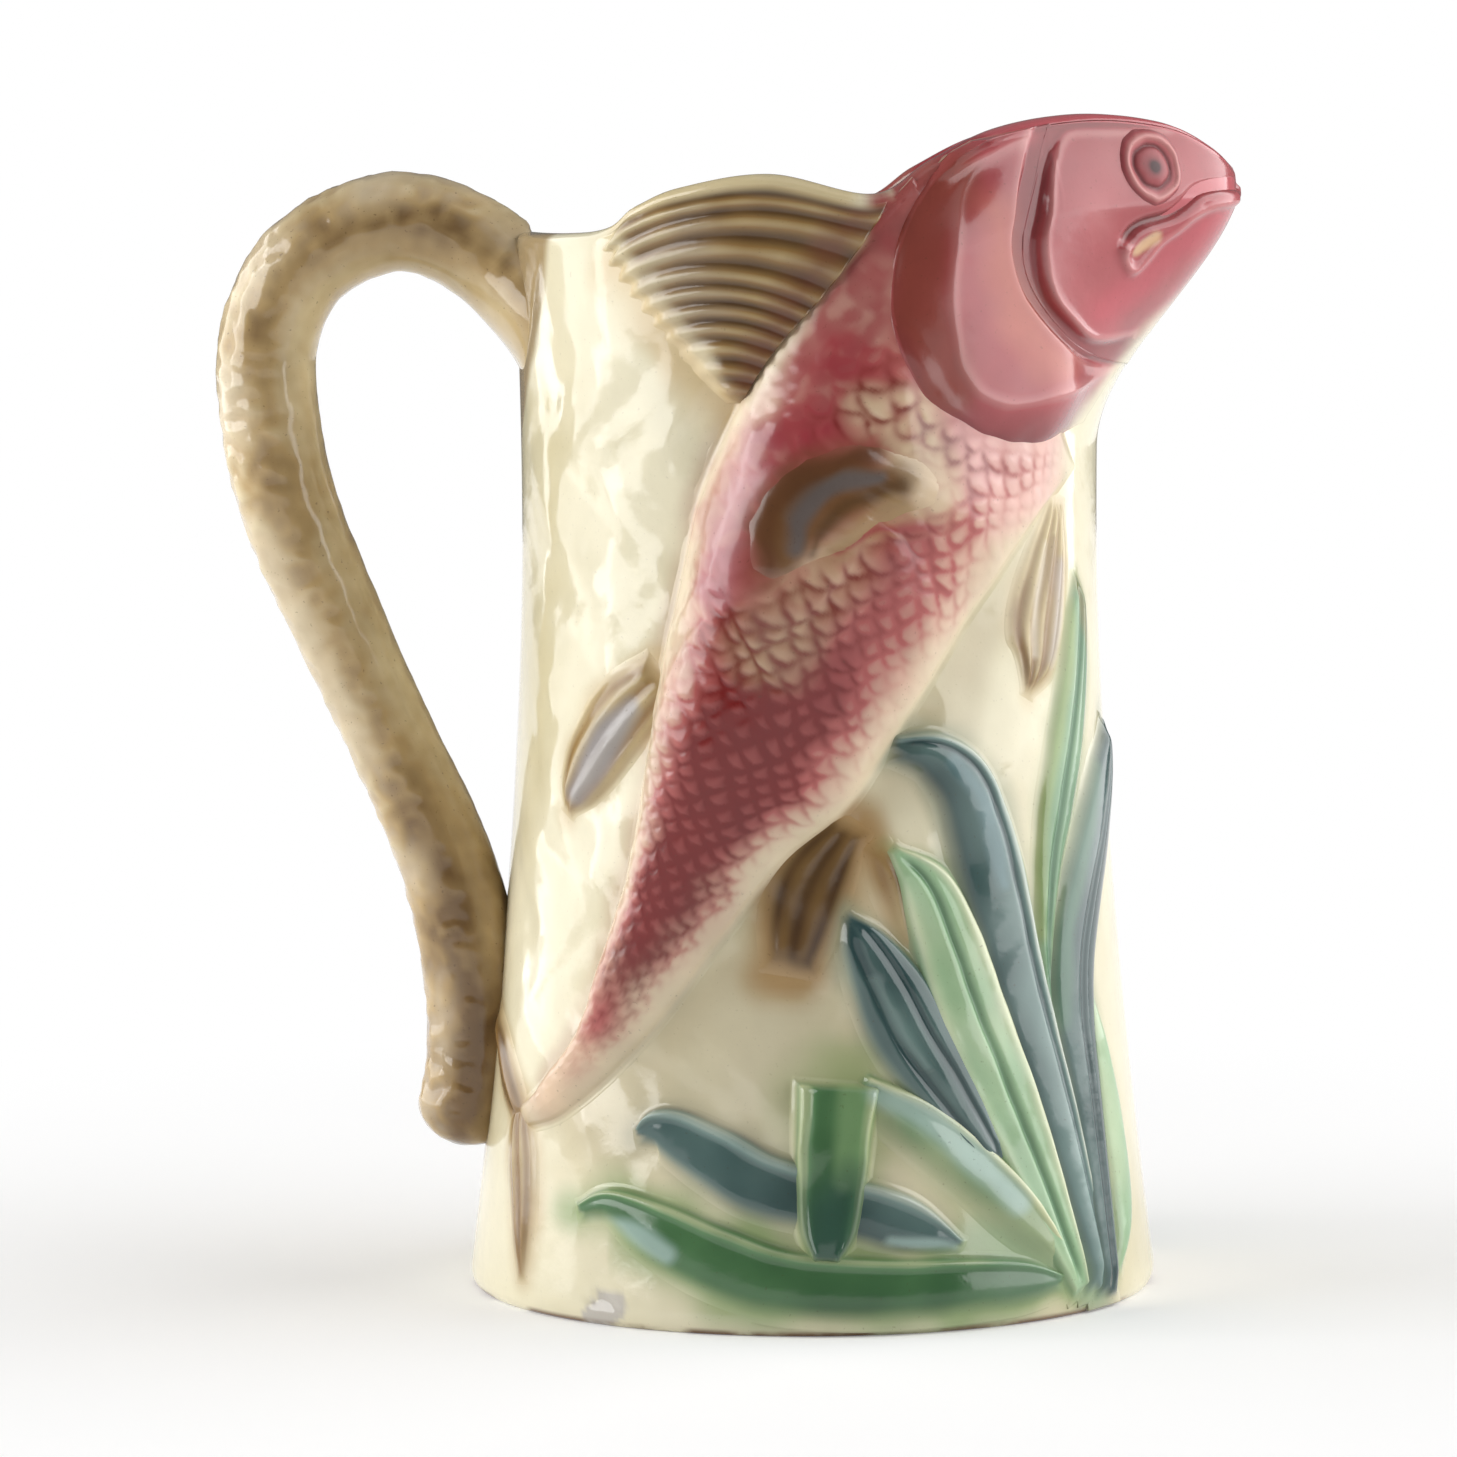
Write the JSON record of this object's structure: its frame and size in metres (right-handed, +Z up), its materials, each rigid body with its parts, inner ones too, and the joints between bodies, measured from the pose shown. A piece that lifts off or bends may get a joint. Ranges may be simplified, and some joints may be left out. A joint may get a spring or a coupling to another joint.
{
  "type": "jug",
  "caption": "Pouring jug with a loop handle, a leaping fish in relief whose head forms the lip, fins under a waved rim and reeds growing from the foot.",
  "frame": {"origin": "on the body's axis, in the plane of the foot", "axes": "+X towards the pouring lip, -X towards the handle, +Z up; the side seen in the picture faces -Y"},
  "size_m": [0.1919, 0.1356, 0.2196],
  "materials": {
    "cream_glaze": "glossy cream glaze with soft stains",
    "bare_clay": "matt biscuit, thinly glazed inside",
    "bark_glaze": "glossy mottled brown glaze",
    "red_glaze": "glossy deep red glaze over scales",
    "rose_glaze": "glossy rose glaze",
    "eye_glaze": "glossy dark glaze with a pale ring",
    "fin_glaze": "glossy umber glaze, pale on the rays",
    "teal_glaze": "glossy blue-green glaze",
    "leaf_glaze": "glossy pale green glaze",
    "green_glaze": "glossy deep green glaze"
  },
  "bodies": {
    "root": {"body_wall": "cream_glaze", "pouring_lip": "cream_glaze", "base_disc": "bare_clay", "handle": "bark_glaze", "fish_flank_near": "red_glaze", "fish_flank_far": "red_glaze", "gill_cover_near": "rose_glaze", "gill_cover_far": "rose_glaze", "cheek_near": "rose_glaze", "cheek_far": "rose_glaze", "eye_near": "eye_glaze", "eye_far": "eye_glaze", "dorsal_fin_near": "fin_glaze", "dorsal_fin_far": "fin_glaze", "back_fin_near": "fin_glaze", "back_fin_far": "fin_glaze", "pectoral_fin_near": "fin_glaze", "pectoral_fin_far": "fin_glaze", "pelvic_fin_near": "fin_glaze", "pelvic_fin_far": "fin_glaze", "anal_fin_near": "fin_glaze", "anal_fin_far": "fin_glaze", "tail_fin_near": "fin_glaze", "tail_fin_far": "fin_glaze", "folded_reed_near": "green_glaze", "folded_reed_far": "green_glaze", "broad_reed_near": "leaf_glaze", "broad_reed_far": "leaf_glaze", "hooked_reed_near": "teal_glaze", "hooked_reed_far": "teal_glaze", "front_reed_near": "teal_glaze", "front_reed_far": "teal_glaze", "short_reed_near": "teal_glaze", "short_reed_far": "teal_glaze", "edge_reed_near": "leaf_glaze", "edge_reed_far": "leaf_glaze", "slim_reed_near": "leaf_glaze", "slim_reed_far": "leaf_glaze", "foot_reed_near": "green_glaze", "foot_reed_far": "green_glaze", "outer_reed_near": "teal_glaze", "outer_reed_far": "teal_glaze", "inner_reed_near": "teal_glaze", "inner_reed_far": "teal_glaze"}
  },
  "joints": []
}
